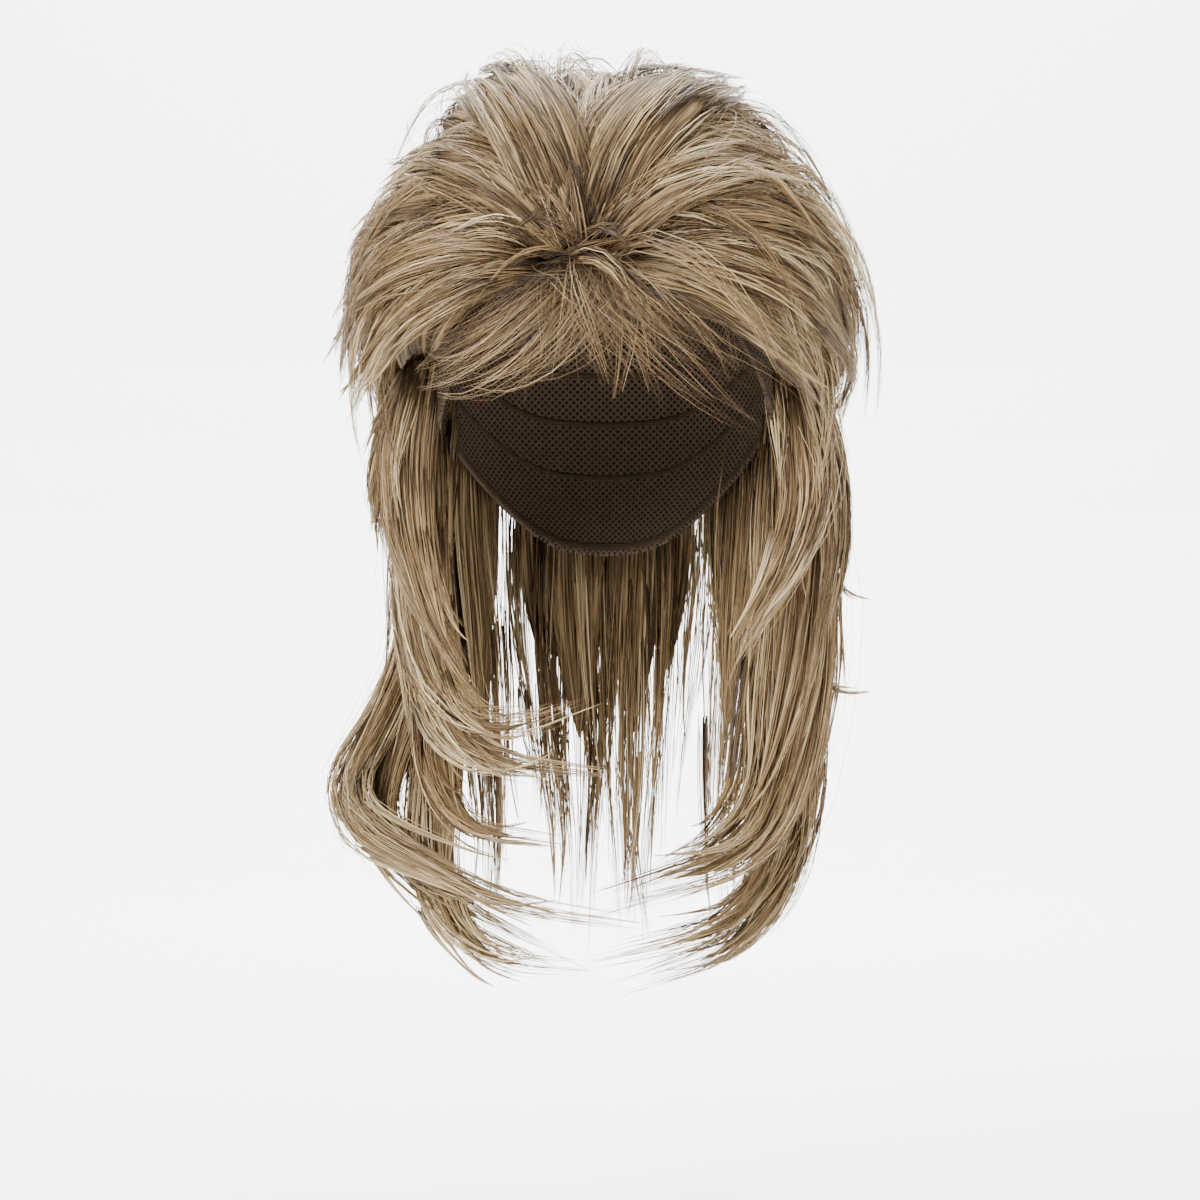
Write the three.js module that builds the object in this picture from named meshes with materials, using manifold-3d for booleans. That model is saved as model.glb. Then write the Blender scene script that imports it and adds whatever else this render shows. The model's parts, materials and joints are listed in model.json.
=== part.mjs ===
// A mullet wig as it hangs on a head: a short teased crown swept back from a whorl over the forehead,
// feathered sides, a thin fringe, and long layered hair that falls behind the neck and over both shoulders.
// Millimetres. +Z is up, the face looks along -Y and the wearer's left is +X.
// The origin is where the top of the head meets the inside of the cap.
import * as THREE from "three";
import Module from "manifold-3d";

const wasm = await Module();
wasm.setup();

// The head that the cap is made for
const HEAD_WIDTH = 156;
const HEAD_LENGTH = 196;
const HEAD_DOME = 95; // from the crown down to the widest level
const HEAD_BACK = 3; // how far the head's middle lies behind its crown

// The cap and the clearances
const CAP_WALL = 1.5;
const SEAT_GAP = 0.6; // hair over the cap
const CROWN_GAP = 1.3; // the crown's inside over the cap, whose facets are as coarse
const PIECE_GAP = 0.35; // one piece of hair from the next

// The hair
const CROWN_LIFT = 40; // the combed mass over the top of the cap
const CROWN_RIM = { front: 7, side: 16, back: 20 }; // the same mass at its lower edge
const LOCK_WIDTH = 50; // a broad lock
const LOCK_THICK = 20; // a full lock
const WEFT_WALL = 3; // the sewn strip at the root of a group of locks
const BACK_DEPTH = 30; // the hair behind the neck
const NAPE_LEVEL = 100; // the roots of the long hair, below the crown
const TAIL_DROP = 345; // the lowest tip, below the crown
const WHORL = { turn: -8, rise: 38 }; // where the combing starts, degrees round and up

const HALF_WIDTH = HEAD_WIDTH / 2;
const HALF_LENGTH = HEAD_LENGTH / 2;
const rad = THREE.MathUtils.degToRad;
const between = THREE.MathUtils.lerp;

// Lower edges, as degrees down from the crown of the head at degrees round from the face.
// The cap clears the forehead, dips to a tab before each ear, rises over the ear and falls to the nape.
const CAP_EDGE = [
  { turn: 0, fall: 57 },
  { turn: 35, fall: 60 },
  { turn: 55, fall: 76 },
  { turn: 70, fall: 100 },
  { turn: 80, fall: 101 },
  { turn: 92, fall: 88 },
  { turn: 110, fall: 94 },
  { turn: 130, fall: 110 },
  { turn: 155, fall: 130 },
  { turn: 180, fall: 133 },
];
const CROWN_EDGE = [
  { turn: 0, fall: 44 },
  { turn: 40, fall: 54 },
  { turn: 70, fall: 76 },
  { turn: 110, fall: 88 },
  { turn: 180, fall: 92 },
];
const HEAD_EDGE = [
  { turn: 0, fall: 176 },
  { turn: 180, fall: 176 },
];

// Crown locks in rows from the forehead to the back. Each row fans out round the whorl, from the
// wearer's left at 0 degrees over the top at 90 to the right at 180. Lifts are shares of CROWN_LIFT
// at the root, the middle and the tip, and tousle raises or lowers each lock of the row. In every table
// a width is a share of LOCK_WIDTH and thick a share of LOCK_THICK.
const CROWN_ROWS = [
  {
    fan: [36, 144],
    tousle: [0.82, 1.12, 0.9, 1.22, 0.94],
    sweep: [4, 66],
    lift: [0.26, 1.12, 1.46],
    width: 0.96,
    thick: 0.85,
  },
  {
    fan: [28, 152],
    tousle: [0.7, 0.98, 1.04, 1.16, 0.88],
    sweep: [34, 96],
    lift: [0.7, 1.2, 1.36],
    width: 0.96,
    thick: 0.85,
  },
  {
    fan: [24, 156],
    tousle: [0.7, 0.94, 1.04, 0.84],
    sweep: [62, 126],
    lift: [0.6, 0.98, 0.94],
    width: 1.08,
    thick: 0.85,
  },
];

// The lowest crown locks hang down the back of the head, at degrees round and degrees of fall
const CROWN_BACK = [
  { turn: 112, fall: [48, 104], lift: [0.4, 0.66, 0.6], width: 0.88, thick: 0.7 },
  { turn: 134, fall: [44, 116], lift: [0.4, 0.74, 0.78], width: 0.96, thick: 0.75 },
  { turn: 157, fall: [44, 112], lift: [0.4, 0.76, 0.76], width: 0.92, thick: 0.75 },
  { turn: 180, fall: [44, 120], lift: [0.4, 0.8, 0.86], width: 0.96, thick: 0.75 },
  { turn: 203, fall: [44, 113], lift: [0.4, 0.76, 0.76], width: 0.92, thick: 0.75 },
  { turn: 226, fall: [44, 118], lift: [0.4, 0.74, 0.8], width: 0.96, thick: 0.75 },
  { turn: 248, fall: [48, 105], lift: [0.4, 0.66, 0.6], width: 0.88, thick: 0.7 },
];

// Side wings and fringe in the same fan, with the bend of the lock along its length in degrees
const WING_LEFT = [
  { fan: 18, bend: 0, sweep: [10, 96], lift: [0.08, 0.86, 0.78], width: 0.76, thick: 0.8 },
  { fan: 0, bend: 4, sweep: [10, 88], lift: [0.08, 0.74, 0.72], width: 0.72, thick: 0.75 },
  { fan: -16, bend: 4, sweep: [10, 76], lift: [0.08, 0.58, 0.66], width: 0.56, thick: 0.65 },
];
const WING_RIGHT = [
  { fan: 162, bend: 0, sweep: [10, 94], lift: [0.08, 0.98, 0.94], width: 0.76, thick: 0.8 },
  { fan: 180, bend: -2, sweep: [10, 86], lift: [0.08, 0.9, 0.94], width: 0.72, thick: 0.75 },
  { fan: 198, bend: -4, sweep: [10, 74], lift: [0.08, 0.74, 0.92], width: 0.6, thick: 0.65 },
];
const FRINGE = [
  { fan: 218, bend: -20, sweep: [4, 60], lift: [0.08, 0.54, 0.44], width: 0.44, thick: 0.4 },
  { fan: 238, bend: -34, sweep: [3, 50], lift: [0.08, 0.48, 0.34], width: 0.44, thick: 0.35 },
  { fan: 258, bend: -34, sweep: [3, 42], lift: [0.08, 0.42, 0.3], width: 0.4, thick: 0.35 },
  { fan: 276, bend: -10, sweep: [3, 36], lift: [0.08, 0.4, 0.28], width: 0.36, thick: 0.3 },
  { fan: 293, bend: 4, sweep: [3, 40], lift: [0.08, 0.42, 0.3], width: 0.36, thick: 0.35 },
  { fan: 308, bend: 10, sweep: [3, 49], lift: [0.08, 0.48, 0.36], width: 0.4, thick: 0.35 },
  { fan: 323, bend: 14, sweep: [4, 60], lift: [0.08, 0.54, 0.42], width: 0.44, thick: 0.4 },
];

// Hanging locks. side is a share of the head's half width, back of its half length behind the head's
// middle, and hang of the fall from the nape level to the lowest tip. facing is how far the lock's
// flat side has turned to the front at its root and at its tip.
const TEMPLE_LEFT = [
  {
    side: [1.0, 1.1, 1.12, 1.02, 0.86, 0.74],
    back: [-0.3, -0.3, -0.3, -0.32, -0.38, -0.42],
    hang: [-0.1, 0.04, 0.16, 0.26, 0.35, 0.42],
    width: 0.56,
    thick: 0.55,
    facing: [0.5, 0.9],
  },
  {
    side: [1.04, 1.22, 1.28, 1.29, 1.22],
    back: [-0.14, -0.12, -0.1, -0.08, -0.06],
    hang: [-0.12, 0.02, 0.14, 0.26, 0.38],
    width: 0.68,
    thick: 0.7,
    facing: [0.1, 0.3],
  },
];
const TEMPLE_RIGHT = [
  {
    side: [-1.0, -1.1, -1.1, -1.02, -0.9, -0.78],
    back: [-0.3, -0.32, -0.34, -0.38, -0.42, -0.44],
    hang: [-0.1, 0.06, 0.18, 0.3, 0.4, 0.46],
    width: 0.56,
    thick: 0.6,
    facing: [0.5, 0.9],
  },
  {
    side: [-1.04, -1.22, -1.27, -1.24],
    back: [-0.14, -0.12, -0.1, -0.08],
    hang: [-0.12, 0.02, 0.13, 0.25],
    width: 0.64,
    thick: 0.6,
    facing: [0.1, 0.2],
  },
];
const TAIL_LEFT = [
  {
    side: [1.04, 1.13, 1.16, 1.1, 0.84, 0.14],
    back: [0.1, 0.06, 0.02, -0.06, -0.36, -0.72],
    hang: [-0.06, 0.14, 0.32, 0.53, 0.76, 0.84],
    width: 0.72,
    thick: 0.85,
    facing: [0.2, 0.9],
  },
  {
    side: [1.02, 1.13, 1.18, 1.11, 1.04, 0.7, 0.08],
    back: [0.34, 0.32, 0.27, 0.2, 0, -0.42, -0.72],
    hang: [-0.04, 0.16, 0.33, 0.57, 0.73, 0.9, 0.95],
    width: 0.72,
    thick: 0.8,
    facing: [0.2, 0.9],
  },
  {
    side: [1.02, 1.0, 0.96, 0.9, 0.84, 0.6, 0.32],
    back: [0.0, -0.04, -0.08, -0.12, -0.2, -0.42, -0.62],
    hang: [-0.04, 0.16, 0.36, 0.54, 0.66, 0.76, 0.8],
    width: 0.6,
    thick: 0.7,
    facing: [0.7, 0.95],
  },
  {
    side: [0.98, 1.06, 1.06, 1.0, 0.7, 0.28],
    back: [0.2, 0.16, 0.08, -0.1, -0.46, -0.7],
    hang: [0.04, 0.3, 0.55, 0.8, 0.94, 0.985],
    width: 0.64,
    thick: 0.7,
    facing: [0.5, 0.9],
  },
];
const TAIL_RIGHT = [
  {
    side: [-1.03, -1.1, -1.11, -1.06, -1.02, -0.98],
    back: [0.14, 0.12, 0.08, 0.04, 0.04, 0.02],
    hang: [-0.06, 0.16, 0.34, 0.5, 0.64, 0.78],
    width: 0.8,
    thick: 0.8,
    facing: [0.1, 0.6],
  },
  {
    side: [-1.02, -1.04, -1.02, -0.9, -0.6, -0.23],
    back: [0, -0.04, -0.1, -0.26, -0.46, -0.58],
    hang: [-0.04, 0.2, 0.38, 0.5, 0.555, 0.52],
    width: 0.56,
    thick: 0.6,
    facing: [0.6, 0.95],
  },
  {
    side: [-1.0, -0.98, -0.88, -0.62, -0.21],
    back: [0.02, -0.06, -0.24, -0.43, -0.57],
    hang: [0.2, 0.42, 0.54, 0.61, 0.63],
    width: 0.52,
    thick: 0.55,
    facing: [0.7, 0.95],
  },
  {
    side: [-1.0, -1.0, -0.96, -0.74, -0.37],
    back: [0.08, 0.02, -0.16, -0.4, -0.54],
    hang: [0.3, 0.5, 0.64, 0.73, 0.75],
    width: 0.44,
    thick: 0.5,
    facing: [0.7, 0.95],
  },
  {
    side: [-0.98, -0.96, -0.98, -0.86, -0.6, -0.3],
    back: [0.12, 0.1, -0.04, -0.34, -0.53, -0.62],
    hang: [0.4, 0.6, 0.775, 0.9, 0.965, 0.975],
    width: 0.6,
    thick: 0.65,
    facing: [0.6, 0.95],
  },
];
const SHOULDER_RIGHT = [
  {
    side: [-0.9, -1.06, -1.16, -1.34, -1.46, -1.36, -0.96, -0.51, 0.02],
    back: [0.5, 0.42, 0.32, 0.16, 0.02, -0.14, -0.33, -0.5, -0.62],
    hang: [-0.04, 0.28, 0.48, 0.59, 0.675, 0.74, 0.81, 0.865, 0.89],
    width: 0.56,
    thick: 0.65,
    facing: [0.2, 0.9],
  },
  {
    side: [-0.88, -1.0, -1.08, -1.2, -1.28, -1.12, -0.8, -0.42],
    back: [0.44, 0.36, 0.26, 0.14, 0.04, -0.14, -0.36, -0.5],
    hang: [0.0, 0.28, 0.48, 0.6, 0.7, 0.8, 0.88, 0.94],
    width: 0.6,
    thick: 0.6,
    facing: [0.3, 0.9],
  },
];

// The hair behind the neck: three curtains side by side, each in an under layer and a shorter top layer.
// Lifts are shares of BACK_DEPTH at each level, and a negative one follows the neck inwards. Here a width
// is a share of the distance from one lock to the next.
const BACK_UNDER = {
  hang: [-0.04, 0.2, 0.46, 0.74, 0.97],
  lift: [0.2, 0.16, -0.1, -0.34, -0.2],
  width: 1.3,
  thick: 0.6,
};
const BACK_TOP = {
  hang: [-0.1, 0.2, 0.5, 0.8],
  lift: [0.32, 0.42, 0.24, 0],
  width: 1.25,
  thick: 0.65,
};
const BACK_CURTAINS = [
  { name: "back_hair_left", turns: [122, 141] },
  { name: "back_hair_middle", turns: [161, 180, 199] },
  { name: "back_hair_right", turns: [219, 238] },
];

// The sewn strips that the groups grow from, at degrees round from the face and degrees of fall
const WEFTS = {
  wing_left: { turn: [8, 30], fall: [46, 55] },
  wing_right: { turn: [-46, -24], fall: [46, 55] },
  fringe: { turn: [-26, 10], fall: [44, 56] },
  temple_left: { turn: [64, 84], fall: [80, 92] },
  temple_right: { turn: [-84, -64], fall: [80, 92] },
  tail_left: { turn: [94, 112], fall: [82, 94] },
  tail_right: { turn: [-106, -92], fall: [82, 94] },
  shoulder_right: { turn: [-120, -110], fall: [84, 98] },
};
const BACK_WEFT_FALL = [88, 108];

// Facets
const ROUND_STEPS = 30;
const SHELL_STEPS = 7; // from the top to the edge of a shell
const HEAD_STEPS = 22; // from the top to the underside of the head
const LOCK_STEP = 30; // one section of a lock for about this length of it
const WEFT_STEP = 10; // degrees
const LENS = [0, 58, 122, 180, 270]; // the corners of a lock's section, degrees

// A point at a direction from the head's middle and a height off the outside of the cap
function offCap(direction, lift) {
  return new THREE.Vector3(
    (HALF_WIDTH + CAP_WALL + lift) * direction.x,
    HEAD_BACK + (HALF_LENGTH + CAP_WALL + lift) * direction.y,
    (HEAD_DOME + CAP_WALL + lift) * direction.z - HEAD_DOME,
  );
}

// The direction at degrees round from the face and degrees down from the crown
function around(turn, fall) {
  return new THREE.Vector3(
    Math.sin(rad(fall)) * Math.sin(rad(turn)),
    -Math.sin(rad(fall)) * Math.cos(rad(turn)),
    Math.cos(rad(fall)),
  );
}

// The direction at degrees of fan round the whorl and degrees of sweep away from it
const whorl = around(WHORL.turn, 90 - WHORL.rise);
const acrossWhorl = new THREE.Vector3(Math.cos(rad(WHORL.turn)), Math.sin(rad(WHORL.turn)), 0);
const upFromWhorl = new THREE.Vector3().crossVectors(acrossWhorl, whorl).negate();
function combed(fan, sweep) {
  return whorl
    .clone()
    .multiplyScalar(Math.cos(rad(sweep)))
    .addScaledVector(acrossWhorl, Math.sin(rad(sweep)) * Math.cos(rad(fan)))
    .addScaledVector(upFromWhorl, Math.sin(rad(sweep)) * Math.sin(rad(fan)));
}

// The height of the crown's mass at degrees round from the face, from its edge at 0 to the top at 1
function crownLift(turn, height) {
  const towardsFace = Math.cos(rad(turn));
  const side = CROWN_RIM.side * (1 - Math.abs(towardsFace));
  const end = Math.abs(towardsFace) * (towardsFace > 0 ? CROWN_RIM.front : CROWN_RIM.back);
  const rim = side + end;
  return rim + (CROWN_LIFT - rim) * Math.sin((Math.PI / 2) * Math.min(1, height * 1.5));
}

// An edge's fall at any turn, eased between the rows of its table and the same on both sides
function edgeFall(edge, turn) {
  const folded = Math.abs(((turn + 540) % 360) - 180);
  const next = Math.max(1, edge.findIndex((row) => row.turn >= folded));
  const [from, to] = [edge[next - 1], edge[next]];
  const share = (folded - from.turn) / (to.turn - from.turn);
  return from.fall + (to.fall - from.fall) * THREE.MathUtils.smoothstep(share, 0, 1);
}

// A closed solid through rings of points, ended in a point or a flat fan at each end
function loft(rings, start, end) {
  const count = rings[0].length;
  const points = [start, ...rings.flat(), end];
  const faces = [];
  const at = (ring, k) => 1 + ring * count + (k % count);
  for (let k = 0; k < count; k++) {
    faces.push(0, at(0, k + 1), at(0, k));
    faces.push(points.length - 1, at(rings.length - 1, k), at(rings.length - 1, k + 1));
    for (let ring = 0; ring + 1 < rings.length; ring++) {
      faces.push(at(ring, k), at(ring, k + 1), at(ring + 1, k + 1));
      faces.push(at(ring, k), at(ring + 1, k + 1), at(ring + 1, k));
    }
  }
  return solidOf(points, faces);
}

// A solid with its faces turned outwards
function solidOf(points, faces) {
  const triVerts = new Uint32Array(faces);
  const vertProperties = new Float32Array(points.flatMap((point) => point.toArray()));
  const volume = (corners) => {
    let sum = 0;
    for (let i = 0; i < corners.length; i += 3) {
      const [a, b, c] = [points[corners[i]], points[corners[i + 1]], points[corners[i + 2]]];
      sum += a.dot(new THREE.Vector3().crossVectors(b, c));
    }
    return sum;
  };
  if (volume(triVerts) < 0) triVerts.reverse();
  return new wasm.Manifold(new wasm.Mesh({ numProp: 3, vertProperties, triVerts }));
}

// A dome-shaped wall over the head between two heights off the cap, down to an edge
function domeWall(edge, inside, outside, grow = 0, steps = SHELL_STEPS) {
  const spare = grow / (rad(1) * HALF_WIDTH);
  const ring = (share, height) =>
    Array.from({ length: ROUND_STEPS }, (_, k) => {
      const turn = (360 * k) / ROUND_STEPS;
      return offCap(around(turn, share * (edgeFall(edge, turn) + spare)), height(turn, 1 - share));
    });
  const shares = Array.from({ length: steps }, (_, k) => (k + 1) / steps);
  const inner = shares.map((share) => ring(share, inside));
  const outer = shares.map((share) => ring(share, outside)).reverse();
  const top = new THREE.Vector3(0, 0, 1);
  return loft([...inner, ...outer], offCap(top, inside(0, 1)), offCap(top, outside(0, 1)));
}

// A strip sewn to the cap between two turns and two falls, which the locks of a group grow from
function weft({ turn: turns, fall: falls }, grow) {
  const steps = Math.max(2, Math.round(Math.abs(turns[1] - turns[0]) / WEFT_STEP));
  const corner = (turn, fall, lift) => offCap(around(turn, fall), lift);
  const reach = rad(1) * HALF_LENGTH; // mm for a degree
  const spare = grow / reach;
  const section = (turn) => [
    corner(turn, falls[0] - spare, SEAT_GAP - grow),
    corner(turn, falls[0] - spare, SEAT_GAP + WEFT_WALL + grow),
    corner(turn, (falls[0] + falls[1]) / 2, SEAT_GAP + WEFT_WALL + grow),
    corner(turn, falls[1] + spare, SEAT_GAP + WEFT_WALL + grow),
    corner(turn, falls[1] + spare, SEAT_GAP - grow),
    corner(turn, (falls[0] + falls[1]) / 2, SEAT_GAP - grow),
  ];
  const rings = Array.from({ length: steps + 1 }, (_, k) =>
    section(turns[0] - spare + ((turns[1] - turns[0] + 2 * spare) * k) / steps),
  );
  return loft(rings, middle(rings[0]), middle(rings[steps]));
}

function middle(points) {
  const sum = points.reduce((total, point) => total.add(point), new THREE.Vector3());
  return sum.divideScalar(points.length);
}

// A lock: a lens-shaped strip that swells from its root and runs out to a tip, flat side outwards
function lock(route, size, grow, fullWidth = size.width * LOCK_WIDTH) {
  const curve = new THREE.CatmullRomCurve3(route, false, "centripetal");
  const steps = Math.max(4, Math.round(curve.getLength() / LOCK_STEP));
  const [rootFacing, tipFacing] = size.facing ?? [0, 0];
  const rings = Array.from({ length: steps }, (_, k) => {
    const share = k / steps;
    const centre = curve.getPointAt(share);
    const along = curve.getTangentAt(share);
    const out = outwards(centre, between(rootFacing, tipFacing, share));
    const across = new THREE.Vector3().crossVectors(along, out).normalize();
    const face = new THREE.Vector3().crossVectors(across, along).normalize();
    if (k === 0) centre.addScaledVector(along, -grow);
    const swell = lockSwell(share);
    const halfWidth = (fullWidth / 2) * swell + grow;
    const halfThick = ((size.thick * LOCK_THICK) / 2) * swell + grow;
    return LENS.map((angle) =>
      centre
        .clone()
        .addScaledVector(across, halfWidth * Math.cos(rad(angle)))
        .addScaledVector(face, halfThick * Math.sin(rad(angle))),
    );
  });
  const tip = curve.getPointAt(1).addScaledVector(curve.getTangentAt(1), grow);
  return loft(rings, middle(rings[0]), tip);
}

// A lock's width along its length: two thirds at the root, full in the first half, then thinning
function lockSwell(share) {
  return 0.66 + 0.34 * Math.sin(Math.PI * Math.min(1, share * 1.25)) - 0.3 * share ** 3;
}

// Away from the head above its widest level and away from the neck below it, turned to the front by a share
function outwards(point, front) {
  return new THREE.Vector3(
    point.x / HALF_WIDTH ** 2,
    (point.y - HEAD_BACK) / HALF_LENGTH ** 2,
    Math.max(0, point.z + HEAD_DOME) / HEAD_DOME ** 2,
  )
    .normalize()
    .lerp(new THREE.Vector3(0, -1, 0), front)
    .normalize();
}

// A lock laid over the head: it lifts from the root to its full height, then to its tip
const COMB_POINTS = [0, 0.22, 0.5, 0.78, 1];
function laidLock(directionAt, row, grow) {
  const [root, body, tip] = row.lift;
  const heights = [root, (root + 2 * body) / 3, body, (2 * body + tip) / 3, tip];
  const route = COMB_POINTS.map((share, k) => offCap(directionAt(share), heights[k] * CROWN_LIFT));
  return lock(route, row, grow);
}

function combedLock(row, grow) {
  const fanAt = (share) => row.fan + (row.bend ?? 0) * share;
  return laidLock((share) => combed(fanAt(share), between(...row.sweep, share)), row, grow);
}

function fallingLock(row, grow) {
  return laidLock((share) => around(row.turn, between(...row.fall, share)), row, grow);
}

// A lock that hangs beside the face or over a shoulder
function hangingLock(row, grow) {
  const route = row.side.map((side, k) => {
    const back = HEAD_BACK + row.back[k] * HALF_LENGTH;
    return new THREE.Vector3(side * HALF_WIDTH, back, hangLevel(row.hang[k]));
  });
  return lock(route, row, grow);
}

function hangLevel(hang) {
  return -(NAPE_LEVEL + hang * (TAIL_DROP - NAPE_LEVEL));
}

function backLock(turn, layer, width, grow) {
  const route = layer.hang.map((hang, k) => {
    const lift = CAP_WALL + layer.lift[k] * BACK_DEPTH;
    const [x, y] = [Math.sin(rad(turn)), -Math.cos(rad(turn))];
    return new THREE.Vector3((HALF_WIDTH + lift) * x, HEAD_BACK + (HALF_LENGTH + lift) * y, hangLevel(hang));
  });
  return lock(route, layer, grow, width);
}

// The groups of hair. Each returns its solid, grown on every side by the given amount.
function crownHair(grow) {
  const inside = () => CROWN_GAP - grow;
  const outside = (turn, height) => crownLift(turn, height) + grow;
  const combedLocks = CROWN_ROWS.flatMap((row) =>
    row.tousle.map((raise, k) => {
      const fan = between(...row.fan, k / (row.tousle.length - 1));
      return combedLock({ ...row, fan, lift: row.lift.map((lift) => lift * raise) }, grow);
    }),
  );
  const backLocks = CROWN_BACK.map((row) => fallingLock(row, grow));
  return fuse([domeWall(CROWN_EDGE, inside, outside, grow), ...combedLocks, ...backLocks]);
}

function combedGroup(rows, place) {
  return (grow) => fuse([weft(place, grow), ...rows.map((row) => combedLock(row, grow))]);
}

function hangingGroup(rows, place) {
  return (grow) => fuse([weft(place, grow), ...rows.map((row) => hangingLock(row, grow))]);
}

// A curtain of top locks, with the under locks behind the places where two of them meet
function backCurtain({ turns }) {
  const spacing = turns[1] - turns[0];
  const meetings = turns.slice(1).map((turn) => turn - spacing / 2);
  const place = { turn: [turns[0], turns[turns.length - 1]], fall: BACK_WEFT_FALL };
  const locks = (places, layer, grow) =>
    places.map((turn) => backLock(turn, layer, layer.width * rad(spacing) * HALF_LENGTH, grow));
  return (grow) =>
    fuse([weft(place, grow), ...locks(turns, BACK_TOP, grow), ...locks(meetings, BACK_UNDER, grow)]);
}

function fuse(solids) {
  return wasm.Manifold.union(solids);
}

// The largest body of a solid, without the slivers that a cut leaves beside it
function largest(solid) {
  return solid.decompose().sort((a, b) => b.volume() - a.volume())[0];
}

function meshOf(name, solid, material) {
  const { numProp, vertProperties, triVerts } = solid.getMesh();
  const positions = new Float32Array((vertProperties.length / numProp) * 3);
  for (let i = 0; i < positions.length / 3; i++) {
    positions.set(vertProperties.subarray(i * numProp, i * numProp + 3), i * 3);
  }
  const geometry = new THREE.BufferGeometry();
  geometry.setAttribute("position", new THREE.BufferAttribute(positions, 3));
  geometry.setIndex(new THREE.BufferAttribute(new Uint32Array(triVerts), 1));
  geometry.computeVertexNormals();
  const mesh = new THREE.Mesh(geometry, material);
  mesh.name = name;
  return mesh;
}

// In the order that they lie on each other: a later group is trimmed back from the ones before it
const GROUPS = [
  { name: "side_wing_left", make: combedGroup(WING_LEFT, WEFTS.wing_left) },
  { name: "side_wing_right", make: combedGroup(WING_RIGHT, WEFTS.wing_right) },
  { name: "crown_hair", make: crownHair },
  { name: "fringe", make: combedGroup(FRINGE, WEFTS.fringe) },
  { name: "temple_lock_left", make: hangingGroup(TEMPLE_LEFT, WEFTS.temple_left) },
  { name: "temple_lock_right", make: hangingGroup(TEMPLE_RIGHT, WEFTS.temple_right) },
  { name: "tail_left", make: hangingGroup(TAIL_LEFT, WEFTS.tail_left) },
  { name: "tail_right", make: hangingGroup(TAIL_RIGHT, WEFTS.tail_right) },
  { name: "shoulder_lock_right", make: hangingGroup(SHOULDER_RIGHT, WEFTS.shoulder_right) },
  ...BACK_CURTAINS.map((curtain) => ({ name: curtain.name, make: backCurtain(curtain) })),
];

const netMaterial = new THREE.MeshStandardMaterial({ color: 0x8a7358, roughness: 0.9, metalness: 0 });
const hairMaterial = new THREE.MeshStandardMaterial({ color: 0xa08c6c, roughness: 0.55, metalness: 0 });

const wig = new THREE.Group();
const capWall = domeWall(CAP_EDGE, () => -CAP_WALL, () => 0);
wig.add(meshOf("wig_cap", capWall, netMaterial));

const headRoom = domeWall(HEAD_EDGE, () => -HALF_WIDTH, () => SEAT_GAP, 0, HEAD_STEPS);
const inTheWay = [headRoom];
for (const { name, make } of GROUPS) {
  const trimmed = inTheWay.reduce((solid, other) => solid.subtract(other), make(0));
  wig.add(meshOf(name, largest(trimmed), hairMaterial));
  inTheWay.push(make(PIECE_GAP));
}

export default wig;
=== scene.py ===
import json
import math

import bpy
import numpy as np
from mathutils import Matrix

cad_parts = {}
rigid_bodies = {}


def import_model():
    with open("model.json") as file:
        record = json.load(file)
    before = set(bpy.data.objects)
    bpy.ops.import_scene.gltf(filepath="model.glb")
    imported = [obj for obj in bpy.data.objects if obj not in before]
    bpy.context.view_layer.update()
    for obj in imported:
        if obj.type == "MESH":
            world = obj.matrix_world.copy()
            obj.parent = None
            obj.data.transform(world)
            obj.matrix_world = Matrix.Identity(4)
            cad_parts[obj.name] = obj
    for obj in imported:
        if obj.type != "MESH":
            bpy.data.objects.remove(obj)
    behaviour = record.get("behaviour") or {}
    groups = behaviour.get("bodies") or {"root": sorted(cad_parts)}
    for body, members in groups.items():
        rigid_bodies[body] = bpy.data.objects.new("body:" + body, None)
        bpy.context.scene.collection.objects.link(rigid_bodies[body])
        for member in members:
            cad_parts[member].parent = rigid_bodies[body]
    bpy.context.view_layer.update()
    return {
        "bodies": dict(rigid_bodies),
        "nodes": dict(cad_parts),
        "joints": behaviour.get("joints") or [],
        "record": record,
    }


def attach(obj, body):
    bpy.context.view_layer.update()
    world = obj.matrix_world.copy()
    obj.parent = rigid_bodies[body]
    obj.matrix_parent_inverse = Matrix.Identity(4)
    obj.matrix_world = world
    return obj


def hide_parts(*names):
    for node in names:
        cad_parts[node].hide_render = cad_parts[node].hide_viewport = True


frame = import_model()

# The net cap
# A stretch net sewn in gores to fit a head, with the hair stitched to it in rows of wefts and the edge
# bound in ribbon. It is a thin shell lofted down from the crown, with each row and the binding run round it.
MM = 0.001
HALF_WIDTH = 78 * MM
HALF_LENGTH = 98 * MM
HEAD_DOME = 95 * MM
HEAD_BACK = 3 * MM
CAP_WALL = 1.5 * MM
CAP_TURNS = 96
CAP_FALLS = 30
CAP_EDGE = {  # degrees round from the face: degrees down from the crown
    0: 57, 35: 60, 55: 76, 70: 100, 80: 101, 92: 88, 110: 94, 130: 110, 155: 130, 180: 133,
}
EDGE_ROUNDING = np.linspace(-9, 9, 7)  # degrees over which an edge's corners are eased
WEFT_ROWS = np.linspace(0.3, 0.88, 8)  # shares of the way to the edge
WEFT_LEVEL = 88  # degrees down to which the highest rows keep level
WEFT_BAND = (1.6 * MM, 0.4 * MM)  # half width, half thickness
BINDING = (3.6 * MM, 1.3 * MM)
NET_CELL = 2.4 * MM
RIBBON_RIB = 0.9 * MM
WAVE_PERIOD = 0.314  # how far apart the wave texture's bands lie at a scale of 1


def linear(hex_colour):
    """An sRGB hex colour as linear red, green, blue and alpha."""
    parts = [int(hex_colour[i:i + 2], 16) / 255 for i in (1, 3, 5)]
    return [c / 12.92 if c <= 0.04045 else ((c + 0.055) / 1.055) ** 2.4 for c in parts] + [1]


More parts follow.
